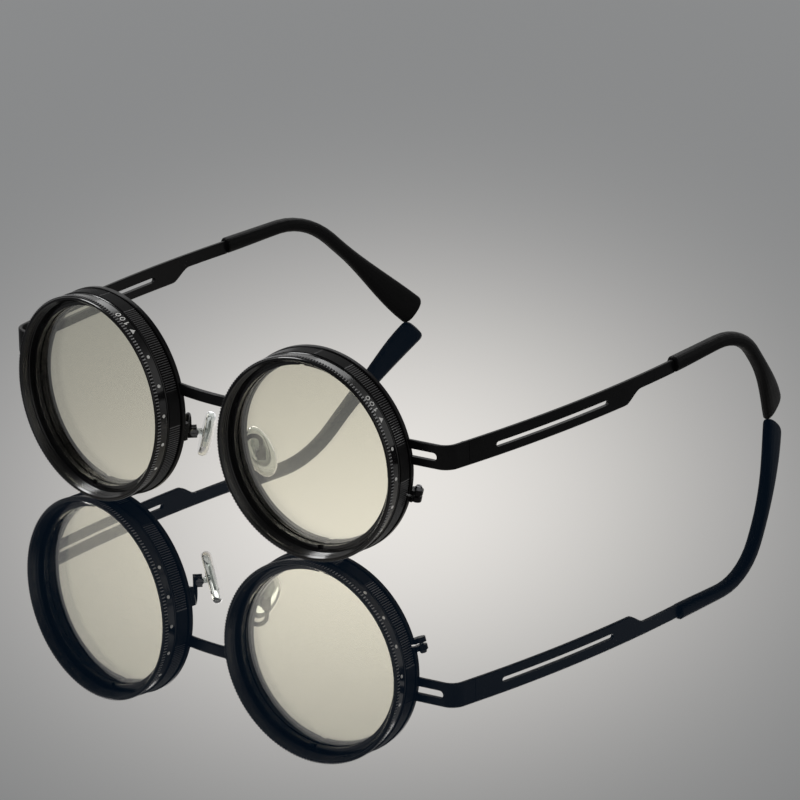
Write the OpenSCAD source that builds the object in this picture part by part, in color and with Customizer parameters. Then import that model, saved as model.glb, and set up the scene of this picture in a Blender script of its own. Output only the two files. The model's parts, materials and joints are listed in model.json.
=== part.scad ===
// Adjustable tint sunglasses: two turning polarizer rings on a wire spectacle frame.
// The lenses look towards -Y, the temples run towards +Y and +Z is up.
// Every module is drawn for the wearer's left, the +X side, and mirrored for the right.

/* [Ring pair] */
// Diameter of the toothed flange
flange_d = 51; // [48:0.5:56]
// Clear space between the two flanges
ring_gap = 18.6; // [17:0.2:22]
// Turn of each ring outwards, round the vertical
wrap = 6; // [3:0.5:8]

/* [Tint ring] */
// Width of the toothed flange along the ring's axis
flange_w = 1.2; // [1:0.1:1.8]
// Width of the smooth index band behind the flange
band_w = 2.4; // [2:0.1:4]
// Depth of the index band below the teeth
band_step = 0.4; // [0.35:0.05:0.6]
// Number of teeth round the flange
tooth_count = 192; // [90:2:220]
// Depth of the teeth
tooth_depth = 0.3; // [0.2:0.05:0.35]
// Wall between the teeth and the front thread
thread_wall = 1.4; // [1.2:0.1:1.8]
// Depth of the front thread
thread_depth = 3; // [2.4:0.1:3.2]
// Wall of the sleeve that turns inside the filter body
sleeve_wall = 0.85; // [0.8:0.05:1]
// Width of the ledge that a lens sits on
ledge_w = 1.1; // [0.8:0.1:1.6]
// Thickness of the ledge behind the front lens
ledge_t = 0.6; // [0.5:0.1:1]

/* [Lenses] */
// Thickness of the front polarizer
front_lens_t = 1.2; // [1:0.1:1.4]
// Thickness of the rear polarizer
rear_lens_t = 1; // [0.8:0.1:1.1]
// Width of the front retainer along the axis
retainer_w = 1.2; // [1:0.1:1.6]
// Radial width of a retainer
retainer_ring = 0.9; // [0.7:0.1:1]
// Width of the spanner notches in a retainer
notch_w = 1.6; // [1:0.1:2.4]

/* [Filter body] */
// Width of the filter body's rim along the axis
body_w = 3.7; // [3.5:0.1:5]
// Wall of the filter body round the sleeve
body_wall = 1.22; // [1.1:0.02:1.4]
// Number of ridges that a full turn of the filter body's knurl would have
knurl_count = 264; // [120:2:280]
// Number of knurled patches round the filter body
patch_count = 5; // [3:1:6]
// Angle that one knurled patch covers
patch_angle = 52; // [30:1:58]
// Angle at which the first knurled patch starts, from the way to the left
patch_from = 15; // [0:1:70]
// Wire of the snap ring that keeps the tint ring in
snap_wire_d = 0.6; // [0.5:0.05:0.7]

/* [Eyewire] */
// Width of the eyewire along the axis
eyewire_w = 1.2; // [1:0.1:1.8]
// Radial thickness of the eyewire
eyewire_t = 1.45; // [1.2:0.05:1.8]
// Angle of the rim lock below the horizontal
lock_angle = 15.2; // [12:0.2:24]
// Diameter of the rim lock's half barrels
lock_d = 2.6; // [2.4:0.1:3.4]
// Length of the two half barrels with the split
lock_len = 3.1; // [2.8:0.1:4.4]

/* [Bridge] */
// Height of the bridge bar
bridge_h = 2.9; // [2:0.1:4]
// Height of the bridge above the ring centres
bridge_rise = 6.5; // [5:0.1:9]
// Forward bow of the bridge
bridge_bow = 0.6; // [0.3:0.1:1.5]

/* [Endpiece and temple] */
// Thickness of the bridge, endpiece and temple strips
strip_t = 1; // [0.8:0.1:1.4]
// Height of the endpiece and temple strips
strip_h = 6.1; // [5.6:0.1:7.4]
// Height of the strips above the ring centres
strip_rise = 4.2; // [3.8:0.1:6]
// Height of the slot that forks the endpiece
fork_h = 1.95; // [1.2:0.05:2.2]
// Length of the endpiece in front of its bend
endpiece_front = 7.7; // [6.5:0.1:12]
// Radius of the endpiece's bend, at mid thickness
endpiece_bend = 3.5; // [3:0.1:5]
// Length of the metal temple strip
temple_len = 72.3; // [62:0.5:84]
// Radius of the temple's outward bow
temple_bow = 350; // [300:5:600]
// Height of the long slot in the temple
slot_h = 1.3; // [0.7:0.1:1.6]
// Distance of the long slot below the strip's middle
slot_drop = 0.2; // [0:0.05:0.5]
// Start of the long slot behind the hinge
slot_start = 8.6; // [7:0.1:14]
// Length of the long slot
slot_len = 38.3; // [20:0.5:40]
// Start of the step in the temple's lower edge
step_start = 52.6; // [50:0.1:56]
// Length of the step in the temple's lower edge
step_len = 6.3; // [5:0.1:8]
// Height of the temple strip behind the step
neck_h = 3.2; // [2.6:0.1:3.6]

/* [Hinge] */
// Radius of the hinge knuckles
knuckle_r = 1; // [0.95:0.05:1.2]
// Radius of the hinge screw
hinge_pin_r = 0.5; // [0.4:0.05:0.6]
// Length of a hinge leaf along its strip
leaf_len = 2.4; // [2:0.1:4]
// Height by which the hinge stays inside the strip's edges
hinge_inset = 1.3; // [1:0.1:1.6]

/* [Temple tip] */
// Straight length of the tip before it bends
tip_lead = 17.6; // [14:0.1:19]
// Radius of the tip's downward bend
tip_bend_r = 23; // [17:0.1:30]
// Angle of the tip's downward bend
tip_bend = 46.5; // [40:0.5:52]
// Straight length of the tip before it curls inwards
tip_curl_lead = 13; // [13:0.1:15]
// Radius of the tip's inward curl
tip_curl_r = 130; // [70:1:180]
// Height of the tip's centre line above the neck's
tip_raise = 0.35; // [0:0.05:0.5]
// Height of the tip's section at the front
tip_h = 3.9; // [3.6:0.1:4.6]
// Height of the tip's section in the bend
tip_waist_h = 3.4; // [3:0.1:4.2]
// Reach of the paddle's heel, behind the centre line
heel = 3.2; // [2.4:0.1:4.5]
// Reach of the paddle's sole, in front of the centre line
sole = 4.5; // [3:0.1:5.5]
// Length of the paddle's rounded end
toe = 1.7; // [1:0.1:3]
// Thickness of the tip
tip_t = 3.4; // [2.8:0.1:3.8]
// Length of the metal tongue inside the tip
tongue_len = 12; // [8:0.5:12.5]

/* [Nose pads] */
// Distance of each pad screw from the middle
pad_x = 11.4; // [11:0.1:12.5]
// Distance of each pad screw behind the ring fronts
pad_y = 12; // [11.5:0.1:13.5]
// Distance of each pad screw below the ring centres
pad_drop = 6.6; // [5.8:0.1:8]
// Thickness of the gooseneck wire
wire_d = 1.1; // [0.9:0.05:1.3]
// Length of the pad
pad_len = 13; // [11:0.1:16]
// Width of the pad
pad_w = 6.4; // [6:0.1:9]
// Thickness of the pad
pad_t = 2.8; // [2.4:0.1:3.4]
// Splay of the pads, seen from above
pad_splay = 45; // [35:1:50]
// Backward lean of the pad's top
pad_lean = 13; // [5:1:16]
// Inward roll of the pad's top
pad_roll = 19; // [8:1:24]

/* [Hidden] */

// Colours
black = [0.09, 0.09, 0.10];
plastic_black = [0.13, 0.13, 0.14];
steel = [0.55, 0.56, 0.58];
tint_glass = [0.72, 0.71, 0.60, 0.55];
clear_silicone = [0.86, 0.89, 0.90, 0.6];

// Facet counts
ring_fn = 180;
small_fn = 32;

// Clearances
turn_fit = 0.08;
turn_gap = 0.12;
seat_fit = 0.05;
pin_fit = 0.05;
seam = 0.12;
edge = 0.15;

// Ring radii, measured from the ring's axis
flange_r = flange_d / 2;
root_r = flange_r - tooth_depth;
core_r = root_r - 0.01;
face_r = root_r - 0.2;
band_r = flange_r - band_step;
thread_r = flange_r - thread_wall;
mouth_r = thread_r + 0.4;
sleeve_bore_r = flange_r - body_wall;
sleeve_r = sleeve_bore_r - turn_fit;
front_lens_pocket_r = sleeve_r - sleeve_wall;
ledge_r = front_lens_pocket_r - ledge_w;
neck_r = sleeve_r;
neck_wall = 1.2;
rear_lens_pocket_r = neck_r - neck_wall;
eyewire_in_r = neck_r + seat_fit;
eyewire_r = eyewire_in_r + eyewire_t;

// Depths along the ring's axis, measured back from the flange's front face
band_end = flange_w + band_w;
front_lens_seat = thread_depth + 0.1 + retainer_w + front_lens_t;
sleeve_end = front_lens_seat + ledge_t;
body_start = band_end + turn_gap;
body_end = body_start + body_w;
counterbore_end = sleeve_end + turn_gap;
rear_ledge_t = 0.7;
rear_lens_seat = counterbore_end + rear_ledge_t;
eyewire_start = body_end + 0.3;
eyewire_mid = eyewire_start + eyewire_w / 2;
eyewire_end = eyewire_start + eyewire_w;
neck_end = eyewire_end + 0.1;
groove_d = (body_start + sleeve_end) / 2;
snap_r = (sleeve_r + sleeve_bore_r) / 2;

// Place of the ring: its lowest point, on the eyewire, stands on the ground
ring_x = flange_r + ring_gap / 2;
ring_z = eyewire_r;

// Turns a point of the ring's frame, given as radial reach and depth, into plan coordinates
function ring_plan(reach, depth) = [
    ring_x + reach * cos(wrap) - depth * sin(wrap),
    reach * sin(wrap) + depth * cos(wrap)
];
// Horizontal reach of a circle at a given height over its centre
function reach_at(r, rise) = sqrt(r * r - rise * rise);
function toward(angle) = [cos(angle), sin(angle)];

// Route of the endpiece in plan, from the eyewire to the hinge. Its tail carries the hinge leaf.
leaf_t = 0.7;
leaf_start = knuckle_r + 0.25;
leaf_seat = 0.035;
endpiece_tail = leaf_start + leaf_len;
front_angle = 8;
fork_len = endpiece_front - fork_h / 2 - 0.2;
// Overlap that makes one solid of two runs of a strip
weld = 0.0005;
tail_angle = 82.4;
strip_z = ring_z + strip_rise;
endpiece_root = ring_plan(reach_at(eyewire_r, strip_rise), eyewire_mid);
bend_start = endpiece_root + endpiece_front * toward(front_angle);
bend_centre = bend_start + endpiece_bend * toward(front_angle + 90);
bend_stop = bend_centre + endpiece_bend * toward(tail_angle - 90);
strip_joint = bend_stop + endpiece_tail * toward(tail_angle);

// Hinge, in a frame whose Y runs back along the strip and whose X points outwards
knuckle_gap = 0.15;
hinge_offset = knuckle_r + knuckle_gap + strip_t / 2;
hinge_xy = strip_joint + hinge_offset * toward(tail_angle + 90);
inner_face = knuckle_r + knuckle_gap;
knuckle_count = 3;
knuckle_seam = 0.06;
hinge_h = strip_h - 2 * hinge_inset;
knuckle_h = (hinge_h - (knuckle_count - 1) * knuckle_seam) / knuckle_count;
knuckle_step = knuckle_h + knuckle_seam;
hinge_z = strip_z - hinge_h / 2;

// Temple strip in the hinge's frame: an arc about a far centre on the inner side
bow_centre = hinge_offset - temple_bow;
bow_angle = temple_len / temple_bow * 180 / PI;
bow_fn = 1440;
strip_top = strip_z + strip_h / 2;
strip_bottom = strip_z - strip_h / 2;
neck_z = strip_top - neck_h / 2;

// Route of the tip: straight through its lead, bent down in its own plane, then that plane curls inwards
tip_root = [bow_centre + temple_bow * cos(bow_angle), temple_bow * sin(bow_angle)];
tip_z = neck_z + tip_raise;
tip_bend_len = tip_bend_r * tip_bend * PI / 180;
// End of the downward bend, and how far before it the curl starts, along the tip's last direction
bend_end = [tip_lead + tip_bend_r * sin(tip_bend), tip_z - tip_bend_r * (1 - cos(tip_bend))];
curl_ahead = tip_bend_r * sin(tip_bend) + (tip_lead - tip_curl_lead) * cos(tip_bend);
// A point of the tip: its distances along and across the last direction, then its distance outwards
function curled(along, across, out) = let (
        t = max(0, along) / tip_curl_r * 180 / PI,
        reach = (along > 0 ? (tip_curl_r + out) * sin(t) : along) - curl_ahead,
        aside = out * cos(t) - tip_curl_r * (1 - cos(t))
    ) [
        bend_end[0] + reach * cos(tip_bend) + across * sin(tip_bend),
        aside,
        bend_end[1] - reach * sin(tip_bend) + across * cos(tip_bend)
    ];
function tip_point(run, out, z) = let (
        dx = run - bend_end[0],
        dz = z - bend_end[1],
        along = dx * cos(tip_bend) - dz * sin(tip_bend) + curl_ahead,
        p = curled(along, dx * sin(tip_bend) + dz * cos(tip_bend), out)
    ) [
        tip_root[0] - p[0] * sin(bow_angle) + p[1] * cos(bow_angle),
        tip_root[1] + p[0] * cos(bow_angle) + p[1] * sin(bow_angle),
        p[2]
    ];
// Profile of the tip's centre line: [run, height, slope] at a length along it
function tip_profile(l) =
    l < tip_lead ? [l, tip_z, 0]
    : l < tip_lead + tip_bend_len
        ? let (a = (l - tip_lead) / tip_bend_r * 180 / PI)
            [tip_lead + tip_bend_r * sin(a), tip_z - tip_bend_r * (1 - cos(a)), a]
        : let (rest = l - tip_lead - tip_bend_len)
            [bend_end[0] + rest * cos(tip_bend), bend_end[1] - rest * sin(tip_bend), tip_bend];
function ease(t) = let (u = min(1, max(0, t))) u * u * (3 - 2 * u);
function round_power(c, e) = sign(c) * pow(abs(c), e);
tip_sides = 20;
toe_rings = 7;
// A little more than the number of rings, so that the last ring keeps some size
toe_quarter = toe_rings + 0.3;
// Power that squares the corners of the tip's oval section
corner_power = 0.8;
heel_t = tip_t - 0.5;
function toe_along(i) = toe * sin(90 * i / toe_quarter);
function toe_share(i) = sqrt(cos(90 * i / toe_quarter));
// Section of the tip at one of its corners: [up, out]
function tip_corner(k, up, down, thick, share) = let (a = 360 * k / tip_sides) [
        (sin(a) > 0 ? up : down) * share * round_power(sin(a), corner_power),
        thick / 2 * sqrt(share) * round_power(cos(a), corner_power)
    ];
// The paddle's rounded end just touches the ground: lowest point for a straight length, brought to zero
function toe_low(straight) = min([for (i = [0 : toe_rings]) for (k = [0 : tip_sides - 1])
        let (c = tip_corner(k, heel, sole, heel_t, toe_share(i)))
        curled(straight + curl_ahead + toe_along(i), c[0], c[1])[2]
    ]);
function grounded(straight) = straight + toe_low(straight) / sin(tip_bend);
tip_straight = grounded(grounded(grounded(bend_end[1])));
tip_len = tip_lead + tip_bend_len + tip_straight;
heel_run = 27;
sole_run = 25;
waist_run = 20;
tip_steps = 26;
// Reach and thickness of the tip at a length along it
function paddle_share(l, run) = ease((l - tip_len + run) / run);
function tip_up(l) = tip_h / 2 + (heel - tip_h / 2) * paddle_share(l, heel_run);
function tip_down(l) =
    let (before = tip_h / 2 + (tip_waist_h - tip_h) * ease(l / waist_run))
        before + (sole - before) * paddle_share(l, sole_run);
function tip_thick(l) = tip_t + (heel_t - tip_t) * paddle_share(l, heel_run);
// Stations along the tip: [length, share of the section], closing in the rounded end
tip_stations = concat(
    [[0, 0.86], [0.3, 1]],
    [for (i = [1 : tip_steps]) [0.3 + (tip_len - 0.3) * i / tip_steps, 1]],
    [for (i = [1 : toe_rings]) [tip_len + toe_along(i), toe_share(i)]]
);
function tip_ring(l, share) = let (p = tip_profile(l))
    [for (k = [0 : tip_sides - 1])
        let (c = tip_corner(k, tip_up(l), tip_down(l), tip_thick(l), share))
        tip_point(p[0] + c[0] * sin(p[2]), c[1], p[1] + c[0] * cos(p[2]))
    ];
tip_points = [for (s = tip_stations) each tip_ring(s[0], s[1])];
tip_last = len(tip_stations) - 1;
tip_faces = concat(
    [[for (k = [0 : tip_sides - 1]) k]],
    [for (i = [0 : tip_last - 1]) for (k = [0 : tip_sides - 1])
        let (a = i * tip_sides + k, b = i * tip_sides + (k + 1) % tip_sides)
        each [[a, a + tip_sides, b + tip_sides], [a, b + tip_sides, b]]
    ],
    [[for (k = [tip_sides - 1 : -1 : 0]) tip_last * tip_sides + k]]
);

// The origin is under the middle of the whole object
tip_reach = max([for (p = tip_points) hinge_xy[1] + p[0] * sin(tail_angle - 90) + p[1] * cos(tail_angle - 90)]);
front_reach = -face_r * sin(wrap);
middle_y = (front_reach + tip_reach) / 2;

// Pad screw and the gooseneck wire that carries its box
pad_z = ring_z - pad_drop;
box_wall = 0.55;
lug_r = 0.85;
lug_t = 0.9;
lug_gap = 0.05;
box_w = lug_t + 2 * lug_gap + 2 * box_wall;
box_h = 2.6;
box_back = lug_r + 0.15;
box_front = 0.7;
foot_len = 4.6;
foot_t = 1;
foot_r = eyewire_r - eyewire_t / 2;
foot_drop = 4.6;
wire_leg = box_back + 0.05;
leg_xy = [pad_x, pad_y] + wire_leg * toward(-pad_splay);
wire_root = ring_plan(-reach_at(foot_r, foot_drop), eyewire_end + foot_t);
wire_root_z = ring_z - foot_drop;
wire_run = norm(leg_xy - wire_root);
wire_heading = atan2(leg_xy[1] - wire_root[1], leg_xy[0] - wire_root[0]);
arch_r = 2;
arch_z = ring_z - 3.7;
arch_u = wire_run - arch_r;
arch_dist = norm([arch_u, arch_z - wire_root_z]);
wire_rise = atan2(arch_z - wire_root_z, arch_u) + asin(arch_r / arch_dist);
wire_straight = sqrt(arch_dist * arch_dist - arch_r * arch_r);
pad_gap = 1.9;

// Puts what follows on the wearer's left (1) or right (-1), in the object's own frame
module on_side(side) {
    mirror([side > 0 ? 0 : 1, 0, 0]) translate([0, -middle_y, 0]) children();
}
// Frame of a ring: Y back along its axis, X outwards
module at_ring() {
    translate([ring_x, 0, ring_z]) rotate([0, 0, wrap]) children();
}
// Point on a ring: X radial, Y back, Z along the rim
module at_rim(angle, radius, depth) {
    at_ring() rotate([0, -angle, 0]) translate([radius, depth, 0]) children();
}
module spin() {
    rotate([-90, 0, 0]) rotate_extrude($fn = ring_fn) children();
}
// Round washer about the ring's axis with small chamfers outside
module washer(r_in, r_out, from, to, bevel = edge) {
    spin() polygon([
        [r_in, from], [r_out - bevel, from], [r_out, from + bevel],
        [r_out, to - bevel], [r_out - bevel, to], [r_in, to]
    ]);
}
// Toothed outline: a tooth at every step that lies in a knurled patch
function knurl(r_tip, r_low, count, patches, cover, first) = [
    for (i = [0 : 2 * count - 1])
        let (
            a = i * 180 / count,
            in_patch = cover >= 360 / patches || (a - first + 360) % (360 / patches) < cover,
            r = in_patch && i % 2 == 1 ? r_low : r_tip
        )
        [r * cos(a), r * sin(a)]
];
module knurled_disc(from, to, count, patches, cover, first) {
    rotate([90, 0, 0]) translate([0, 0, -to]) linear_extrude(to - from)
        polygon(knurl(flange_r, root_r, count, patches, cover, first));
}
module at_hinge() {
    translate([hinge_xy[0], hinge_xy[1], 0]) rotate([0, 0, tail_angle - 90]) children();
}
module at_pad_screw() {
    translate([pad_x, pad_y, pad_z]) rotate([0, 0, -pad_splay]) children();
}
module across(r, from, to) {
    translate([0, from, 0]) rotate([-90, 0, 0]) cylinder(r = r, h = to - from, $fn = small_fn);
}
// Solid cylinder of the eyewire's outside, used to trim what butts against it
module eyewire_core() {
    at_ring() spin() square([eyewire_r, neck_end + 20]);
}

module tint_ring() {
    color(black) at_ring() difference() {
        union() {
            spin() polygon([
                [0, 0], [face_r, 0], [core_r, 0.2], [core_r, flange_w], [band_r, flange_w],
                [band_r, band_end - edge], [band_r - edge, band_end], [sleeve_r, band_end],
                [sleeve_r, sleeve_end], [0, sleeve_end]
            ]);
            knurled_disc(0.2, flange_w, tooth_count, 1, 360, 0);
        }
        spin() polygon([
            [0, -1], [mouth_r + 1, -1], [mouth_r, 0], [thread_r, 0.4], [thread_r, thread_depth],
            [front_lens_pocket_r, thread_depth], [front_lens_pocket_r, front_lens_seat],
            [ledge_r, front_lens_seat], [ledge_r, sleeve_end + 1], [0, sleeve_end + 1]
        ]);
        snap_groove();
    }
}
// Groove for the snap wire, cut in the sleeve and in the filter body alike
module snap_groove() {
    half = snap_wire_d / 2 + 0.06;
    spin() translate([snap_r - half, groove_d - half]) square([2 * half, 2 * half]);
}
module snap_wire() {
    color(steel) at_ring() rotate([-90, 0, 0]) rotate([0, 0, 5]) rotate_extrude(angle = 350, $fn = ring_fn)
        translate([snap_r, groove_d]) circle(d = snap_wire_d, $fn = small_fn);
}
module lens(r, from, to) {
    color(tint_glass) at_ring() spin() polygon([
        [0, from], [r - edge, from], [r, from + edge], [r, to - edge], [r - edge, to], [0, to]
    ]);
}
module front_polarizer() {
    lens(front_lens_pocket_r - seat_fit, front_lens_seat - front_lens_t, front_lens_seat);
}
module rear_polarizer() {
    lens(rear_lens_pocket_r - seat_fit, rear_lens_seat, rear_lens_seat + rear_lens_t);
}
// Retaining ring with two spanner notches in the face that shows
module retainer(r_out, from, to, notch_from, notch_to) {
    color(black) at_ring() difference() {
        washer(r_out - retainer_ring, r_out, from, to, 0.1);
        for (a = [95, 275])
            rotate([0, -a, 0]) translate([r_out - 1.5 * retainer_ring, notch_from, -notch_w / 2])
                cube([2 * retainer_ring, notch_to - notch_from, notch_w]);
    }
}
module front_retainer() {
    front = thread_depth + 0.1;
    retainer(front_lens_pocket_r - seat_fit, front, front + retainer_w, front - 1, front + 0.6);
}
module rear_retainer() {
    retainer(rear_lens_pocket_r - seat_fit, rear_lens_seat + rear_lens_t, neck_end, neck_end - 0.5, neck_end + 1);
}
module filter_body(first_patch) {
    color(black) at_ring() difference() {
        union() {
            washer(0, core_r, body_start, body_end);
            knurled_disc(body_start + 0.2, body_end - 0.2, knurl_count, patch_count, patch_angle, first_patch);
            spin() translate([0, body_end - 1]) square([neck_r, neck_end - body_end + 1]);
        }
        spin() polygon([
            [0, body_start - 1], [sleeve_bore_r, body_start - 1], [sleeve_bore_r, counterbore_end],
            [ledge_r, counterbore_end], [ledge_r, rear_lens_seat], [rear_lens_pocket_r, rear_lens_seat],
            [rear_lens_pocket_r, neck_end + 1], [0, neck_end + 1]
        ]);
        snap_groove();
    }
}

// Rim lock: two half barrels on the split ends, one screw through both
lock_r = lock_d / 2;
lock_reach = eyewire_r + lock_r - 0.4;
lock_depth = eyewire_end + 1;
split_w = 0.6;
lock_pin_r = 0.5;
module eyewire() {
    color(black) difference() {
        union() {
            at_ring() washer(eyewire_in_r, eyewire_r, eyewire_start, eyewire_end);
            at_rim(-lock_angle, 0, 0) {
                translate([lock_reach, lock_depth, -lock_len / 2])
                    cylinder(r = lock_r, h = lock_len, $fn = small_fn);
                translate([eyewire_r - 0.6, eyewire_start + 0.2, -lock_len / 2])
                    cube([lock_reach - eyewire_r + 0.6, lock_depth - eyewire_start - 0.2, lock_len]);
            }
        }
        at_rim(-lock_angle, 0, 0) {
            translate([lock_reach, lock_depth, -lock_len])
                cylinder(r = lock_pin_r + pin_fit, h = 2 * lock_len, $fn = small_fn);
            translate([eyewire_in_r - 1, eyewire_start - 1, -split_w / 2])
                cube([eyewire_t + lock_d + 3, eyewire_w + lock_d + 3, split_w]);
        }
    }
}
module rim_screw() {
    head_h = 0.8;
    head_r = lock_r - 0.2;
    color(steel) at_rim(-lock_angle, lock_reach, lock_depth) difference() {
        union() {
            translate([0, 0, -lock_len / 2]) cylinder(r = lock_pin_r, h = lock_len + 0.1, $fn = small_fn);
            translate([0, 0, lock_len / 2]) cylinder(r1 = head_r, r2 = head_r - 0.4, h = head_h, $fn = small_fn);
        }
        translate([-2, -0.15, lock_len / 2 + head_h - 0.35]) cube([4, 0.3, 1]);
    }
}

// Bridge bar, bowed forwards, butting against both eyewires
bridge_end = ring_plan(-reach_at(eyewire_r, bridge_rise), eyewire_mid);
bridge_r = (pow(bridge_end[0], 2) + pow(bridge_bow, 2)) / (2 * bridge_bow);
module bridge() {
    half = asin(bridge_end[0] / bridge_r) + 2;
    color(black) translate([0, -middle_y, 0]) difference() {
        translate([0, bridge_end[1] - bridge_bow + bridge_r, ring_z + bridge_rise - bridge_h / 2])
            rotate([0, 0, -90 - half]) rotate_extrude(angle = 2 * half, $fn = 720)
                translate([bridge_r - strip_t / 2, 0]) rounded_bar(strip_t, bridge_h);
        eyewire_core();
        mirror([1, 0, 0]) eyewire_core();
    }
}
// Section of a flat strip with its edges broken
module rounded_bar(w, h, c = 0.2) {
    polygon([[c, 0], [w - c, 0], [w, c], [w, h - c], [w - c, h], [c, h], [0, h - c], [0, c]]);
}

// Strip along the endpiece's route: straight, bend and straight, of a given section
module endpiece_sweep(h, thick, tail) {
    translate([endpiece_root[0], endpiece_root[1], -h / 2]) rotate([0, 0, front_angle]) {
        translate([-2, -thick / 2, 0]) strip_run(endpiece_front + 2 + weld, thick, h);
        translate([endpiece_front, endpiece_bend, 0]) {
            rotate([0, 0, -90]) rotate_extrude(angle = tail_angle - front_angle, $fn = ring_fn)
                translate([endpiece_bend - thick / 2, 0]) rounded_bar(thick, h);
            if (tail > 0)
                rotate([0, 0, tail_angle - front_angle])
                    translate([-weld, -endpiece_bend - thick / 2, 0]) strip_run(tail + weld, thick, h);
        }
    }
}
// Straight strip along X with its edges broken
module strip_run(len, w, h) {
    rotate([90, 0, 90]) linear_extrude(len) rounded_bar(w, h);
}
module fork_slot() {
    wide = strip_t + 2;
    translate([endpiece_root[0], endpiece_root[1], 0]) rotate([0, 0, front_angle]) {
        translate([-3, -wide / 2, -fork_h / 2]) cube([fork_len + 3, wide, fork_h]);
        translate([fork_len, wide / 2, 0]) rotate([90, 0, 0]) cylinder(d = fork_h, h = wide, $fn = small_fn);
    }
}
module endpiece() {
    color(black) difference() {
        translate([0, 0, strip_z]) difference() {
            endpiece_sweep(strip_h, strip_t, endpiece_tail - seam / 2);
            fork_slot();
        }
        eyewire_core();
    }
}

// Height of the heads of the hinge and pad screws
screw_head_h = 0.45;
// One hinge half: a leaf against the strip, and every second knuckle with its web
module hinge_half(first, bore_r) {
    difference() {
        union() {
            translate([inner_face - leaf_seat - leaf_t, -leaf_start - leaf_len, hinge_z])
                cube([leaf_t, leaf_len, hinge_h]);
            for (k = [first : 2 : knuckle_count - 1]) translate([0, 0, hinge_z + k * knuckle_step]) {
                cylinder(r = knuckle_r, h = knuckle_h, $fn = small_fn);
                translate([0, -leaf_start - 0.2, 0])
                    cube([inner_face - leaf_seat, leaf_start + 0.2 - seam / 2, knuckle_h]);
            }
        }
        translate([0, 0, hinge_z - 1]) cylinder(r = bore_r, h = hinge_h + 2, $fn = small_fn);
    }
}
module front_hinge() {
    color(black) at_hinge() hinge_half(0, hinge_pin_r + pin_fit);
}
module temple_hinge() {
    color(black) at_hinge() mirror([0, 1, 0]) hinge_half(1, hinge_pin_r + pin_fit);
}
module hinge_screw() {
    head_r = knuckle_r - 0.1;
    color(steel) at_hinge() difference() {
        union() {
            translate([0, 0, hinge_z]) cylinder(r = hinge_pin_r, h = hinge_h + 0.1, $fn = small_fn);
            translate([0, 0, hinge_z + hinge_h])
                cylinder(r1 = head_r, r2 = head_r - 0.25, h = screw_head_h, $fn = small_fn);
        }
        translate([-2, -0.12, hinge_z + hinge_h + 0.22]) cube([4, 0.24, 1]);
    }
}

// Wall of the temple strip between two depths, over its whole bow
module bowed_wall(z_low, h, thick, from) {
    start = from / temple_bow * 180 / PI;
    translate([bow_centre, 0, z_low]) rotate([0, 0, start])
        rotate_extrude(angle = bow_angle - start, $fn = bow_fn)
            translate([temple_bow - thick / 2, 0]) rounded_bar(thick, h);
}
// Side view of the part cut away under the temple's narrow neck, with an S-shaped step
step_h = strip_h - neck_h;
step_points = 10;
module under_neck() {
    translate([hinge_offset + 8, 0, strip_bottom]) rotate([90, 0, -90]) linear_extrude(40) polygon(concat(
        [for (i = [0 : step_points]) let (t = i / step_points) [-(step_start + step_len * t), step_h * ease(t)]],
        [[-(temple_len + 5), step_h], [-(temple_len + 5), -5], [-step_start + 1, -5], [-step_start + 1, -0.01]]
    ));
}
module temple_slot() {
    reach = 12;
    translate([hinge_offset - reach / 2 - 2, slot_start + slot_h / 2, strip_z - slot_drop]) {
        translate([0, 0, -slot_h / 2]) cube([reach, slot_len - slot_h, slot_h]);
        for (y = [0, slot_len - slot_h])
            translate([0, y, 0]) rotate([0, 90, 0]) cylinder(d = slot_h, h = reach, $fn = small_fn);
    }
}
tongue_h = 2.2;
tongue_t = strip_t - 0.2;
// Straight tongue that lies inside the tip's lead, grown by a clearance
module tongue(grow, length) {
    translate([tip_root[0], tip_root[1], neck_z]) rotate([0, 0, bow_angle])
        translate([-tongue_t / 2 - grow, -0.4, -tongue_h / 2 - grow])
            cube([tongue_t + 2 * grow, length + 0.4, tongue_h + 2 * grow]);
}
module temple() {
    color(black) at_hinge() {
        difference() {
            bowed_wall(strip_bottom, strip_h, strip_t, seam / 2);
            under_neck();
            temple_slot();
        }
        tongue(0, tongue_len);
    }
}
module temple_tip() {
    color(plastic_black) at_hinge() difference() {
        polyhedron(points = tip_points, faces = tip_faces, convexity = 6);
        tongue(seat_fit, tongue_len + 0.3);
    }
}

// Foot brazed on the eyewire's rear face, gooseneck wire, and a forked box for the pad's lug
module pad_arm() {
    color(black) {
        at_rim(180 + asin(foot_drop / foot_r), foot_r, eyewire_end) translate([-0.6, 0, -foot_len / 2])
            cube([1.2, foot_t, foot_len]);
        translate([wire_root[0], wire_root[1], 0]) rotate([0, 0, wire_heading]) {
            translate([0, 0, wire_root_z]) rotate([0, 90 - wire_rise, 0])
                translate([0, 0, -0.4]) {
                    cylinder(d = wire_d, h = wire_straight + 0.4, $fn = small_fn);
                    translate([0, 0, wire_straight + 0.4]) sphere(d = wire_d + 0.02, $fn = small_fn);
                }
            translate([arch_u, 0, arch_z]) rotate([90, 0, 0]) rotate_extrude(angle = 90 + wire_rise, $fn = 64)
                translate([arch_r, 0]) circle(d = wire_d, $fn = small_fn);
            translate([wire_run, 0, pad_z + box_h / 2 - 0.1])
                cylinder(d = wire_d, h = arch_z - pad_z - box_h / 2 + 0.1, $fn = small_fn);
        }
        at_pad_screw() difference() {
            translate([-box_front, -box_w / 2, -box_h / 2])
                cube([box_front + box_back + box_wall, box_w, box_h]);
            translate([-box_front - 1, -lug_t / 2 - lug_gap, -box_h])
                cube([box_front + box_back + 1, lug_t + 2 * lug_gap, 2 * box_h]);
            across(hinge_pin_r + pin_fit, -5, 5);
        }
    }
}
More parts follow.
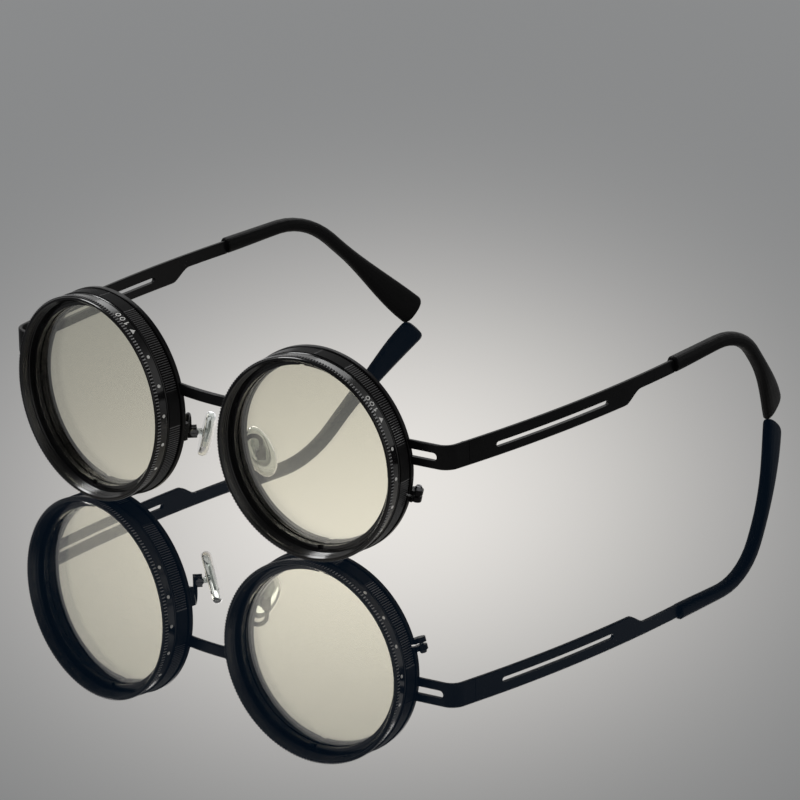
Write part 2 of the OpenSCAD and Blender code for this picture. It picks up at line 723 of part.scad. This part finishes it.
module pad_screw() {
    head_r = 1.1;
    color(steel) at_pad_screw() difference() {
        union() {
            across(hinge_pin_r, -box_w / 2 - 0.1, box_w / 2);
            translate([0, -box_w / 2, 0]) rotate([90, 0, 0])
                cylinder(r1 = head_r, r2 = head_r - 0.2, h = screw_head_h, $fn = small_fn);
        }
        translate([-2, -box_w / 2 - 1, -0.12]) cube([4, 0.75, 0.24]);
    }
}
// Frame of the pad: its back plane is X = 0 and its face looks towards -X
module at_pad() {
    at_pad_screw() rotate([0, -pad_lean, 0]) translate([-pad_gap, 0, 0]) rotate([pad_roll, 0, 0]) children();
}
// Egg-shaped outline of the pad, fuller below
function pad_outline(share, sides) = [
    for (k = [0 : sides - 1])
        let (a = 360 * k / sides, fuller = 1 - 0.12 * sin(a))
        [pad_w / 2 * share * fuller * cos(a), (pad_len / 2 - pad_w / 2 * (1 - share)) * sin(a)]
];
module pad_layer(depth, share) {
    translate([-depth, 0, 0]) rotate([90, 0, -90]) linear_extrude(0.01) polygon(pad_outline(share, 36));
}
core_len = 7.5;
core_w = 3.4;
core_t = 0.8;
module core_plate(grow) {
    for (z = [-1, 1])
        translate([-pad_t / 2 - core_t / 2 - grow, 0, z * (core_len - core_w) / 2]) rotate([0, 90, 0])
            cylinder(d = core_w + 2 * grow, h = core_t + 2 * grow, $fn = small_fn);
    translate([-pad_t / 2 - core_t / 2 - grow, -core_w / 2 - grow, -(core_len - core_w) / 2])
        cube([core_t + 2 * grow, core_w + 2 * grow, core_len - core_w]);
}
stem_r = 0.7;
module nose_pad() {
    color(clear_silicone) at_pad() difference() {
        hull() {
            pad_layer(0, 0.8);
            pad_layer(0.5, 0.97);
            pad_layer(pad_t * 0.45, 1);
            pad_layer(pad_t * 0.8, 0.84);
            pad_layer(pad_t, 0.5);
        }
        core_plate(seat_fit);
        translate([-pad_t / 2, 0, 0]) rotate([0, 90, 0])
            cylinder(r = stem_r + seat_fit, h = pad_t, $fn = small_fn);
    }
}
module pad_core() {
    color(clear_silicone) {
        at_pad() {
            core_plate(0);
            translate([-pad_t / 2, 0, 0]) rotate([0, 90, 0])
                cylinder(r = stem_r, h = pad_t / 2 + 0.4, $fn = small_fn);
        }
        at_pad_screw() difference() {
            union() {
                across(lug_r, -lug_t / 2, lug_t / 2);
                translate([-pad_gap, -lug_t / 2, -0.55]) cube([pad_gap, lug_t, 1.1]);
            }
            across(hinge_pin_r + pin_fit, -5, 5);
        }
    }
}

bridge();
on_side(1) eyewire();  // left_eyewire
on_side(-1) eyewire();  // right_eyewire
on_side(1) rim_screw();  // left_rim_screw
on_side(-1) rim_screw();  // right_rim_screw
on_side(1) filter_body(patch_from);  // left_filter_body
on_side(-1) filter_body(180 - patch_from - patch_angle);  // right_filter_body
on_side(1) snap_wire();  // left_snap_wire
on_side(-1) snap_wire();  // right_snap_wire
on_side(1) rear_polarizer();  // left_rear_polarizer
on_side(-1) rear_polarizer();  // right_rear_polarizer
on_side(1) rear_retainer();  // left_rear_retainer
on_side(-1) rear_retainer();  // right_rear_retainer
on_side(1) tint_ring();  // left_tint_ring
on_side(-1) tint_ring();  // right_tint_ring
on_side(1) front_polarizer();  // left_front_polarizer
on_side(-1) front_polarizer();  // right_front_polarizer
on_side(1) front_retainer();  // left_front_retainer
on_side(-1) front_retainer();  // right_front_retainer
on_side(1) endpiece();  // left_endpiece
on_side(-1) endpiece();  // right_endpiece
on_side(1) front_hinge();  // left_front_hinge
on_side(-1) front_hinge();  // right_front_hinge
on_side(1) hinge_screw();  // left_hinge_screw
on_side(-1) hinge_screw();  // right_hinge_screw
on_side(1) pad_arm();  // left_pad_arm
on_side(-1) pad_arm();  // right_pad_arm
on_side(1) pad_screw();  // left_pad_screw
on_side(-1) pad_screw();  // right_pad_screw
on_side(1) nose_pad();  // left_nose_pad
on_side(-1) nose_pad();  // right_nose_pad
on_side(1) pad_core();  // left_pad_core
on_side(-1) pad_core();  // right_pad_core
on_side(1) temple();  // left_temple
on_side(-1) temple();  // right_temple
on_side(1) temple_hinge();  // left_temple_hinge
on_side(-1) temple_hinge();  // right_temple_hinge
on_side(1) temple_tip();  // left_temple_tip
on_side(-1) temple_tip();  // right_temple_tip
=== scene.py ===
"""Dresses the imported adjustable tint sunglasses.

It adds materials, index marks, thread ridges, rounder nose pads, a floor, light and the camera of the photograph.
"""
import json
from math import cos, pi, radians, sin, sqrt, tau

import bpy
from mathutils import Matrix, Vector


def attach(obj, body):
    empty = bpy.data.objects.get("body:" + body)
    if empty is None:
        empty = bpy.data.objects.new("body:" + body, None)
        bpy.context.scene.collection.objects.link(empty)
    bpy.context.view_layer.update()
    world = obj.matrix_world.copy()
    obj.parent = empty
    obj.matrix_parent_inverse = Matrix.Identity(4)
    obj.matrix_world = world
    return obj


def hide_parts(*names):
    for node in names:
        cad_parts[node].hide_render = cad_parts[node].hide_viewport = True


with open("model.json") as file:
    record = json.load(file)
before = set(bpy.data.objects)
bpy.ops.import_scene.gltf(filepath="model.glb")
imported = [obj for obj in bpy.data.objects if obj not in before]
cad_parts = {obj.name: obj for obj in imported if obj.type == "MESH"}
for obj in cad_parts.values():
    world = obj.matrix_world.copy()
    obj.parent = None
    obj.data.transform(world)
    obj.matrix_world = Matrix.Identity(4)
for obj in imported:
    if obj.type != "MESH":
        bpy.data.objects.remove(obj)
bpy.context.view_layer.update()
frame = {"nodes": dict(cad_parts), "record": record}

MM = 0.001
SIDES = {"left": 1, "right": -1}
UP = Vector((0, 0, 1))
JOINTS = {j["name"]: j for j in frame["record"]["behaviour"]["joints"]}

# The turning rings: radii and depths in mm, depths from each ring's front face, angles in degrees from the way to +X
JOINT_DEPTH = 3.0
BAND_R = 25.1
BAND_MID = 2.4
THREAD_R = 24.1
PATCH_COUNT = 5
PATCH_ANGLE = 52.0
FIRST_PATCH = 15.0


class Ring:
    """One ring's own frame: its front centre, the way back, and the way to +X in its plane."""

    def __init__(self, side):
        joint = JOINTS[side + "_tint_turn"]
        self.axis = Vector(joint["axis"]).normalized()
        self.centre = Vector(joint["pos_m"]) - self.axis * JOINT_DEPTH * MM
        self.across = self.axis.cross(UP).normalized()

    def point(self, radius, angle, depth):
        turn = radians(angle)
        flat = self.across * cos(turn) + UP * sin(turn)
        return self.centre + (flat * radius + self.axis * depth) * MM


RINGS = {side: Ring(side) for side in SIDES}

# Colour sockets of a Mix node
MIX_A, MIX_B, MIX_RESULT = 6, 7, 2


class Material:
    """A node material with one Principled shader. An input may be a value or another node's socket."""

    def __init__(self, name, **values):
        self.mat = bpy.data.materials.new(name)
        self.mat.use_nodes = True
        self.nodes = self.mat.node_tree.nodes
        self.links = self.mat.node_tree.links
        self.shader = self.nodes["Principled BSDF"]
        self.coords = self.nodes.new("ShaderNodeTexCoord").outputs["Object"]
        for key, value in values.items():
            self.shader.inputs[key.replace("_", " ")].default_value = value

    def node(self, kind, inputs, **settings):
        made = self.nodes.new("ShaderNode" + kind)
        for key, value in settings.items():
            setattr(made, key, value)
        for key, value in inputs.items():
            if isinstance(value, bpy.types.NodeSocket):
                self.links.new(value, made.inputs[key])
            else:
                made.inputs[key].default_value = value
        return made

    def math(self, operation, a, b=0.0):
        return self.node("Math", {0: a, 1: b}, operation=operation).outputs[0]

    def vector(self, operation, a, b):
        return self.node("VectorMath", {0: a, 1: b}, operation=operation).outputs["Vector"]

    def length(self, a):
        return self.node("VectorMath", {0: a}, operation="LENGTH").outputs["Value"]

    def along(self, a, b):
        """How far a vector reaches along a direction."""
        return self.node("VectorMath", {0: a, 1: b}, operation="DOT_PRODUCT").outputs["Value"]

    def noise(self, scale, detail=3.0, rough=0.55, vector=None):
        inputs = {"Vector": vector or self.coords, "Scale": scale, "Detail": detail, "Roughness": rough}
        return self.node("TexNoise", inputs).outputs["Fac"]

    def spread(self, value, low, high, start=0.3, end=0.7):
        """Maps a value from start..end onto low..high."""
        inputs = {"Value": value, "From Min": start, "From Max": end, "To Min": low, "To Max": high}
        return self.node("MapRange", inputs).outputs["Result"]

    def mix(self, share, low, high):
        """Mixes two colours, the first of which may come from a node."""
        first = low if isinstance(low, bpy.types.NodeSocket) else (*low, 1)
        inputs = {"Factor": share, MIX_A: first, MIX_B: (*high, 1)}
        return self.node("Mix", inputs, data_type="RGBA").outputs[MIX_RESULT]

    def cloudy(self, cloud, color, gain):
        """A colour that gets up to gain times as pale where the cloud is dense."""
        return self.mix(self.spread(cloud, 0, 1), color, [c * gain for c in color])

    def link(self, value, name):
        self.links.new(value, self.shader.inputs[name])

    def bump(self, height, strength, distance, normal=None):
        inputs = {"Height": height, "Strength": strength, "Distance": distance}
        if normal is not None:
            inputs["Normal"] = normal
        return self.node("Bump", inputs).outputs["Normal"]


# Anodised rings: highlights painted paler on the crests of the flange's teeth and the knurling, dull plain faces
# between the knurled patches, and a gloss on the index band and in the mouth. Radii and depths are in mm.
BLACK_ANODISED = (0.004, 0.004, 0.0043)
# Paler colours painted on the crests of the knurling and of the flange's teeth, as highlights
KNURL_PAINTED_HIGHLIGHT = (0.11, 0.11, 0.112)
TEETH_PAINTED_HIGHLIGHT = (0.28, 0.28, 0.285)
TEETH_HIGHLIGHT_DEPTH = 1.1
CREST_R = (25.36, 25.48)
DULLNESS = 0.6
BAND_REACH = 0.05
GLOSSY_MOUTH_R = 24.6
GLOSSY_MOUTH_DEPTH = 3.3
GLOSS = 0.45


def ring_material(name, ring):
    """Anodised aluminium: fine lathe lines round the ring's axis, a grainy satin skin and crests painted paler as
    highlights.
    """
    rough = 0.2
    m = Material(name, Roughness=rough, Specular_IOR_Level=0.13, Coat_Roughness=0.12, Coat_IOR=1.5)
    offset = m.vector("SUBTRACT", m.coords, tuple(ring.centre))
    radius = m.length(m.vector("CROSS_PRODUCT", offset, tuple(ring.axis)))
    depth = m.along(offset, tuple(ring.axis))
    turn = m.math("ARCTAN2", m.along(offset, tuple(UP)), m.along(offset, tuple(ring.across)))
    past_first = m.math("FLOORED_MODULO", m.math("SUBTRACT", turn, radians(FIRST_PATCH)), tau / PATCH_COUNT)
    crest = m.spread(radius, 0.0, 1.0, CREST_R[0] * MM, CREST_R[1] * MM)
    on_patch = m.math("MULTIPLY", crest, m.math("LESS_THAN", past_first, radians(PATCH_ANGLE)))
    on_flange = m.math("MULTIPLY", crest, m.math("LESS_THAN", depth, TEETH_HIGHLIGHT_DEPTH * MM))

    lathe = {"W": m.math("ADD", radius, depth), "Scale": 9000, "Detail": 2.0}
    lines = m.node("TexNoise", lathe, noise_dimensions="1D").outputs["Fac"]
    grain = m.noise(scale=14000, detail=2.0)
    cloud = m.noise(scale=160, detail=4.0)
    # The crests of the knurled patches and of the flange's teeth are painted paler, as highlights
    tone_with_painted_light = m.mix(on_patch, m.cloudy(cloud, BLACK_ANODISED, 1.6), KNURL_PAINTED_HIGHLIGHT)
    m.link(m.mix(on_flange, tone_with_painted_light, TEETH_PAINTED_HIGHLIGHT), "Base Color")

    between = m.math("SUBTRACT", crest, m.math("MAXIMUM", on_patch, on_flange))
    sheen = m.math("ADD", m.spread(lines, rough - 0.05, rough + 0.06), m.spread(cloud, -0.03, 0.04))
    m.link(m.math("ADD", sheen, m.math("MULTIPLY", between, DULLNESS)), "Roughness")
    skin = m.bump(grain, strength=0.1, distance=0.00001)
    m.link(m.bump(lines, strength=0.15, distance=0.00003, normal=skin), "Normal")

    off_band = m.math("ABSOLUTE", m.math("SUBTRACT", radius, BAND_R * MM))
    on_band = m.math("LESS_THAN", off_band, BAND_REACH * MM)
    inside = m.math("LESS_THAN", radius, GLOSSY_MOUTH_R * MM)
    in_mouth = m.math("MULTIPLY", inside, m.math("LESS_THAN", depth, GLOSSY_MOUTH_DEPTH * MM))
    m.link(m.math("MULTIPLY", m.math("MAXIMUM", on_band, in_mouth), GLOSS), "Coat Weight")
    return m.mat


def painted_metal(name, color, rough):
    """Satin paint on metal: fine orange peel, dust-sized grain, slightly polished patches."""
    m = Material(name, Roughness=rough, Specular_IOR_Level=0.07)
    peel = m.noise(scale=1500, detail=2.0)
    grain = m.noise(scale=9000, detail=2.0)
    cloud = m.noise(scale=120, detail=4.0)
    m.link(m.cloudy(cloud, color, 1.5), "Base Color")
    m.link(m.math("ADD", m.spread(cloud, rough - 0.07, rough + 0.07), m.spread(grain, -0.03, 0.03)), "Roughness")
    skin = m.bump(grain, strength=0.15, distance=0.00002)
    m.link(m.bump(peel, strength=0.25, distance=0.00006, normal=skin), "Normal")
    return m.mat


def steel(name, color, rough):
    """Drawn or turned steel with fine streaks and small tarnished spots."""
    m = Material(name, Metallic=1.0, Roughness=rough)
    stretched = m.node("Mapping", {"Vector": m.coords, "Scale": (1, 1, 9)}).outputs[0]
    streak = m.noise(scale=2600, vector=stretched)
    spots = m.noise(scale=700, detail=5.0, rough=0.65)
    tarnish = [c * 0.7 for c in color]
    m.link(m.mix(m.spread(spots, 0, 1), tarnish, color), "Base Color")
    m.link(m.math("ADD", m.spread(streak, rough - 0.08, rough + 0.1), m.spread(spots, -0.04, 0.04)), "Roughness")
    m.link(m.bump(streak, strength=0.2, distance=0.00003), "Normal")
    return m.mat


def soft_plastic(name, color, rough):
    """Moulded matte plastic: spark-eroded grain, faint flow marks and a slightly polished touch."""
    m = Material(name, Roughness=rough, Specular_IOR_Level=0.05)
    grain = m.noise(scale=5200, detail=4.0, rough=0.6)
    flow = m.noise(scale=70)
    m.link(m.cloudy(flow, color, 1.5), "Base Color")
    m.link(m.math("ADD", m.spread(flow, rough - 0.06, rough + 0.06), m.spread(grain, -0.05, 0.05)), "Roughness")
    m.link(m.bump(grain, strength=0.3, distance=0.00005), "Normal")
    return m.mat


def clear(name, color, rough, ior, ripple):
    """A clear body with faint ripples; shadow rays pass so that it casts a light tinted shadow."""
    m = Material(name, Base_Color=(*color, 1), Roughness=rough, IOR=ior, Transmission_Weight=1.0)
    wave = m.noise(scale=260, detail=2.0)
    smear = m.noise(scale=90, detail=4.0)
    m.link(m.spread(smear, rough, rough * 1.6 + 0.004), "Roughness")
    m.link(m.bump(wave, strength=ripple, distance=0.00002), "Normal")
    passing = m.node("BsdfTransparent", {"Color": (*color, 1)})
    in_shadow = m.node("LightPath", {}).outputs["Is Shadow Ray"]
    both = m.node("MixShader", {0: in_shadow, 1: m.shader.outputs[0], 2: passing.outputs[0]})
    m.links.new(both.outputs[0], m.nodes["Material Output"].inputs["Surface"])
    return m.mat


def printed(name, color):
    """Screen-printed ink, slightly uneven."""
    m = Material(name, Roughness=0.55)
    patch = m.noise(scale=2600)
    thin = [c * 0.8 for c in color]
    m.link(m.mix(m.spread(patch, 0, 1), thin, color), "Base Color")
    m.link(m.spread(patch, 0.45, 0.65), "Roughness")
    m.link(m.bump(patch, strength=0.15, distance=0.00002), "Normal")
    return m.mat


ANODISED = {side: ring_material(side + "_anodised", ring) for side, ring in RINGS.items()}
SLOT_MATERIALS = {
    "black_metal": painted_metal("black_metal", color=(0.003, 0.003, 0.0033), rough=0.3),
    "spring_steel": steel("spring_steel", color=(0.45, 0.45, 0.46), rough=0.3),
    "screw_steel": steel("screw_steel", color=(0.1, 0.1, 0.105), rough=0.32),
    "tint_lens": clear("tint_lens", color=(1.0, 0.984, 0.898), rough=0.0, ior=2.1, ripple=0.0),
    "tip_plastic": soft_plastic("tip_plastic", color=(0.0025, 0.0025, 0.0027), rough=0.42),
    "clear_silicone": clear("clear_silicone", color=(0.6, 0.63, 0.61), rough=0.03, ior=1.43, ripple=0.2),
    "pad_plastic": clear("pad_plastic", color=(0.38, 0.41, 0.39), rough=0.08, ior=1.55, ripple=0.1),
}
INK = printed("index_ink", color=(0.72, 0.72, 0.7))

SLOTS = {part["node"]: part["material_slot"] for part in frame["record"]["subparts"]}
for node, obj in frame["nodes"].items():
    side = node.split("_")[0]
    slot = SLOTS[node]
    mat = ANODISED[side] if slot == "anodised_ring" else SLOT_MATERIALS[slot]
    obj.data.materials.clear()
    obj.data.materials.append(mat)


def piece(name, points, faces, body, mat, smooth=True):
    """A mesh piece that rides on a body. Points are in metres in the model's frame."""
    mesh = bpy.data.meshes.new(name)
    mesh.from_pydata([tuple(p) for p in points], [], faces)
    mesh.materials.append(mat)
    mesh.validate()
    mesh.shade_smooth() if smooth else mesh.shade_flat()
    obj = bpy.data.objects.new(name, mesh)
    bpy.context.scene.collection.objects.link(obj)
    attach(obj, body)
    return obj


# Index marks: a triangle, dots and a plain figure printed on each turning band. Lengths are in mm, outlines are
# (along the band, depth) and angles are in degrees.
MARK_LIFT = 0.03
MARK_SINK = 0.03
TRIANGLE_AT = {"left": 32.0, "right": 53.5}
# It points back at the filter body
TRIANGLE = [(-0.75, -0.5), (0.75, -0.5), (0.0, 0.75)]
DOT_STEP = 17.0
DOT_R = 0.44
DOT_COUNT = 5
DOT_SIDES = 20
# The figure 100 stands past the triangle, one digit at each of these angles
DIGIT_STEPS = (6.3, 9.8, 13.6)
DIGIT_H, ZERO_W, STROKE = 1.5, 1.15, 0.24
ZERO_SIDES = 24
# The flag of the figure 1: how far it reaches out, and its ends below the head
FLAG_W, FLAG_FROM, FLAG_TO, FLAG_ROOT = 0.34, 0.4, 0.66, 0.42


def band_layers(ring, outline, at):
    """The points of an outline above the band and then below its surface, centred at an angle."""
    points = []
    for radius in (BAND_R + MARK_LIFT, BAND_R - MARK_SINK):
        for along, deep in outline:
            points.append(ring.point(radius, at - along / BAND_R * 180 / pi, BAND_MID + deep))
    return points


def printed_shape(ring, outline, at):
    """A thin raised patch over a closed outline, following the band."""
    n = len(outline)
    mid = (sum(p[0] for p in outline) / n, sum(p[1] for p in outline) / n)
    points = band_layers(ring, [mid] + outline, at)
    faces = []
    for i in range(n):
        j = (i + 1) % n
        a, b, c, d = 1 + i, 1 + j, n + 2 + i, n + 2 + j
        faces += [(0, a, b), (n + 1, d, c), (a, c, d, b)]
    return points, faces


def printed_loop(ring, outer, inner, at):
    """A thin raised band between two closed outlines with as many points each."""
    n = len(outer)
    low = 2 * n
    points = band_layers(ring, outer + inner, at)
    faces = []
    for i in range(n):
        j = (i + 1) % n
        faces += [(i, j, n + j, n + i), (low + i, low + n + i, low + n + j, low + j)]
        faces += [(i, low + i, low + j, j), (n + i, n + j, low + n + j, low + n + i)]
    return points, faces


def along_edges(corners, step=0.12):
    """Adds points along the edges of a closed outline, so that a wide shape can follow a curve."""
    out = []
    for (x0, y0), (x1, y1) in zip(corners, corners[1:] + corners[:1]):
        parts = max(1, int(sqrt((x1 - x0) ** 2 + (y1 - y0) ** 2) / step))
        out += [(x0 + (x1 - x0) * i / parts, y0 + (y1 - y0) * i / parts) for i in range(parts)]
    return out


def oval(half_w, half_h, sides):
    return [(half_w * cos(tau * i / sides), half_h * sin(tau * i / sides)) for i in range(sides)]


def numeral_zero(ring, at):
    outer = oval(ZERO_W / 2, DIGIT_H / 2, ZERO_SIDES)
    inner = oval(ZERO_W / 2 - STROKE, DIGIT_H / 2 - STROKE, ZERO_SIDES)
    return printed_loop(ring, outer, inner, at)


def numeral_one(ring, at):
    """The figure's head points to the front of the ring, as the others' do."""
    w, h = STROKE / 2, DIGIT_H / 2
    tip = w + FLAG_W
    outline = [(w, h), (w, -h + FLAG_ROOT), (tip, -h + FLAG_TO), (tip, -h + FLAG_FROM), (w, -h), (-w, -h), (-w, h)]
    return printed_shape(ring, along_edges(outline), at)


def join(shapes):
    points, faces = [], []
    for p, f in shapes:
        base = len(points)
        points += p
        faces += [tuple(base + i for i in face) for face in f]
    return points, faces


for side, ring in RINGS.items():
    start = TRIANGLE_AT[side]
    shapes = [printed_shape(ring, along_edges(TRIANGLE), start)]
    dot = oval(DOT_R, DOT_R, DOT_SIDES)
    shapes += [printed_shape(ring, dot, start - DOT_STEP * (i + 1)) for i in range(DOT_COUNT)]
    shapes.append(numeral_one(ring, start + DIGIT_STEPS[0]))
    shapes += [numeral_zero(ring, start + step) for step in DIGIT_STEPS[1:]]
    points, faces = join(shapes)
    piece(side + "_index_marks", points, faces, side + "_tint", INK, smooth=False)


# Thread ridges: one helix inside each front mouth, lengths in mm
PITCH = 0.75
THREAD_FROM, THREAD_TO = 0.55, 2.85
RIDGE_H = 0.16
RIDGE_STEPS = 160
# The ridge's section: outwards from the thread's radius, and along the axis
RIDGE_SECTION = [(0.06, -0.27), (-RIDGE_H, -0.05), (-RIDGE_H, 0.05), (0.06, 0.27)]
# The ridge rises and ends over a twelfth of its length
RIDGE_FADE = 12
for side, ring in RINGS.items():
    turns = (THREAD_TO - THREAD_FROM) / PITCH
    count = int(turns * RIDGE_STEPS)
    points, faces = [], []
    for i in range(count + 1):
        share = i / count
        fade = min(1.0, RIDGE_FADE * share, RIDGE_FADE * (1 - share))
        depth = THREAD_FROM + share * (THREAD_TO - THREAD_FROM)
        for out, along in RIDGE_SECTION:
            reach = THREAD_R + (out if out > 0 else out * fade)
            points.append(ring.point(reach, 360 * turns * share, depth + along))
        if i:
            a, b = 4 * (i - 1), 4 * i
            for k in range(4):
                m = (k + 1) % 4
                faces.append((a + k, a + m, b + m, b + k))
    last = 4 * count
    faces += [(3, 2, 1, 0), (last, last + 1, last + 2, last + 3)]
    piece(side + "_thread_ridges", points, faces, side + "_tint", ANODISED[side], smooth=False)


# Nose pads: a rounder silicone dome over each pad core. Lengths are in mm and angles in degrees.
PAD_LEN, PAD_W, PAD_T = 13.0, 6.4, 2.8
PAD_SPLAY, PAD_LEAN, PAD_TILT, PAD_GAP = -45.0, -13.0, 19.0, 1.9
PAD_STEPS = 56
# How much the outline narrows to its upper end and widens to its lower one
PAD_EGG = 0.12
# Depth of each layer, and its share of the full outline
PAD_LAYERS = [(0.0, 0.55), (0.0, 0.74), (0.12, 0.86), (0.35, 0.94), (0.75, 0.985), (1.26, 1.0), (1.8, 0.95),
              (2.25, 0.83), (2.55, 0.66), (2.72, 0.45), (2.79, 0.22)]


def pad_outline(share):
    outline = []
    for i in range(PAD_STEPS):
        a = tau * i / PAD_STEPS
        wide = PAD_W / 2 * share * (1 - PAD_EGG * sin(a)) * cos(a)
        tall = (PAD_LEN / 2 - PAD_W / 2 * (1 - share)) * sin(a)
        outline.append((wide, tall))
    return outline


def pad_mesh(pivot, k):
    """The pad as points and faces. k mirrors it to the wearer's right."""
    place = (Matrix.Rotation(radians(PAD_SPLAY), 4, "Z") @ Matrix.Rotation(radians(PAD_LEAN), 4, "Y")
             @ Matrix.Translation((-PAD_GAP, 0, 0)) @ Matrix.Rotation(radians(PAD_TILT), 4, "X"))
    local = [(-depth, wide, tall) for depth, share in PAD_LAYERS for wide, tall in pad_outline(share)]
    local += [(0, 0, 0), (-PAD_T, 0, 0)]
    placed = [place @ Vector(p) for p in local]
    points = [pivot + Vector((k * p.x, p.y, p.z)) * MM for p in placed]
    faces = []
    for row in range(len(PAD_LAYERS) - 1):
        for i in range(PAD_STEPS):
            j = (i + 1) % PAD_STEPS
            a, b = row * PAD_STEPS, (row + 1) * PAD_STEPS
            faces.append((a + i, a + j, b + j, b + i))
    back, front = len(points) - 2, len(points) - 1
    top = (len(PAD_LAYERS) - 1) * PAD_STEPS
    for i in range(PAD_STEPS):
        j = (i + 1) % PAD_STEPS
        faces += [(back, j, i), (front, top + i, top + j)]
    if k < 0:
        faces = [tuple(reversed(f)) for f in faces]
    return points, faces


for side, k in SIDES.items():
    points, faces = pad_mesh(Vector(JOINTS[side + "_pad_rock"]["pos_m"]), k)
    pad = piece(side + "_soft_pad", points, faces, side + "_pad", SLOT_MATERIALS["clear_silicone"])
    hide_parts(side + "_nose_pad")


# Floor, light and camera, in metres
CAM_AZ, CAM_EL, CAM_ROLL = radians(41.94), radians(19.85), radians(1.63)
# A pool of light painted into the floor's colour: its centre and half sizes across and along the camera's view
GLOW_AT = (-0.0035, -0.034)
GLOW_SIZE = (0.08, 0.158)
GLOW = (0.93, 0.90, 0.86)
GLOOM = (0.158, 0.162, 0.165)
# A deep blue glow painted into the sheet as emission, which shows under its reflections
FLOOR_BLUE_GLOW = (0.001, 0.0032, 0.0068)
FLOOR_SIZE = 8.0
# The floor lies just under the lowest points, so that no faces fall together
FLOOR_Z = -0.00003
# The floor turns from matt to mirror between these values of Layer Weight's Facing, 0 from straight above
MATT_UNTIL, MIRROR_FROM = 0.5, 0.62
EULER = 2.718


def floor_material():
    """A pale polished sheet: a mirror at low angles, plain matt from above, painted lighter in the middle as a pool
    of light, with a painted deep blue glow.
    """
    # The sheet's emission paints a deep blue glow under its reflections
    m = Material("floor", Roughness=0.012, Metallic=1.0, Emission_Color=(*FLOOR_BLUE_GLOW, 1), Emission_Strength=1.0)
    placing = {"Vector": m.coords, "Location": (-GLOW_AT[0], -GLOW_AT[1], 0), "Rotation": (0, 0, -CAM_AZ)}
    turned = m.node("Mapping", placing).outputs[0]
    reach = m.length(m.vector("MULTIPLY", turned, (1 / GLOW_SIZE[0], 1 / GLOW_SIZE[1], 0)))
    fall = m.math("POWER", EULER, m.math("MULTIPLY", m.math("MULTIPLY", reach, reach), -1.0))
    # The floor's colour runs from a painted pool of light in the middle to painted shade further out
    tone_with_painted_light = m.mix(fall, GLOOM, GLOW)
    m.link(tone_with_painted_light, "Base Color")
    matt = m.node("BsdfPrincipled", {"Base Color": tone_with_painted_light, "Roughness": 0.6})
    facing = m.node("LayerWeight", {"Blend": 0.5}).outputs["Facing"]
    share = m.spread(facing, 0.0, 1.0, MATT_UNTIL, MIRROR_FROM)
    both = m.node("MixShader", {0: share, 1: matt.outputs[0], 2: m.shader.outputs[0]})
    m.links.new(both.outputs[0], m.nodes["Material Output"].inputs["Surface"])
    return m.mat


half = FLOOR_SIZE / 2
mesh = bpy.data.meshes.new("floor")
mesh.from_pydata([(-half, -half, 0), (half, -half, 0), (half, half, 0), (-half, half, 0)], [], [(0, 1, 2, 3)])
mesh.materials.append(floor_material())
floor = bpy.data.objects.new("floor", mesh)
floor.location.z = FLOOR_Z
scene = bpy.context.scene
scene.collection.objects.link(floor)

# A soft bright room that gets dark towards the ceiling, between these heights of the direction's Z
ROOM_FADE = {"From Min": 0.45, "From Max": 0.75, "To Min": 0.85, "To Max": 0.12}
world = bpy.data.worlds.new("studio")
world.use_nodes = True
nodes, links = world.node_tree.nodes, world.node_tree.links
background = nodes["Background"]
background.inputs["Color"].default_value = (1.0, 0.995, 0.985, 1)
sky = nodes.new("ShaderNodeTexCoord")
height = nodes.new("ShaderNodeSeparateXYZ")
fade = nodes.new("ShaderNodeMapRange")
fade.interpolation_type = "SMOOTHSTEP"
for key, value in ROOM_FADE.items():
    fade.inputs[key].default_value = value
links.new(sky.outputs["Generated"], height.inputs[0])
links.new(height.outputs["Z"], fade.inputs["Value"])
links.new(fade.outputs["Result"], background.inputs["Strength"])
scene.world = world

# What the softboxes point at
LIT = Vector((0, 0, 0.02))


def softbox(name, at, size, power):
    light = bpy.data.lights.new(name, "AREA")
    light.shape = "RECTANGLE"
    light.size, light.size_y = size
    light.energy = power
    obj = bpy.data.objects.new(name, light)
    obj.location = at
    obj.rotation_euler = (LIT - Vector(at)).to_track_quat("-Z", "Y").to_euler()
    obj.visible_camera = False
    scene.collection.objects.link(obj)


softbox("key", at=(-1.0, -0.5, 1.1), size=(0.5, 0.4), power=11)
softbox("back", at=(-0.65, 1.0, 1.0), size=(1.2, 0.5), power=5)

# The camera of the photograph, solved from the rings and temples: a long lens from far off. CAM_AT counts its Y from
# the rings' front.
CAM_PX, CAM_FRAME = 10467.0, 800.0
CAM_AT = Vector((1.59948, -1.70675, 0.87575))
SENSOR = 36.0
look_back = Vector((sin(CAM_AZ) * cos(CAM_EL), -cos(CAM_AZ) * cos(CAM_EL), sin(CAM_EL)))
look_right = Vector((cos(CAM_AZ), sin(CAM_AZ), 0))
look_up = look_back.cross(look_right)
rows = Matrix.Rotation(CAM_ROLL, 3, "Z") @ Matrix((look_right, look_up, look_back))
cam = bpy.data.cameras.new("camera")
cam.sensor_width = SENSOR
cam.sensor_fit = "HORIZONTAL"
cam.lens = CAM_PX / CAM_FRAME * SENSOR
cam.clip_start, cam.clip_end = 0.05, 30
camera = bpy.data.objects.new("camera", cam)
stand = CAM_AT + Vector((0, RINGS["left"].centre.y, 0))
camera.matrix_world = Matrix.Translation(stand) @ rows.transposed().to_4x4()
scene.collection.objects.link(camera)
scene.camera = camera
scene.view_settings.view_transform = "Standard"
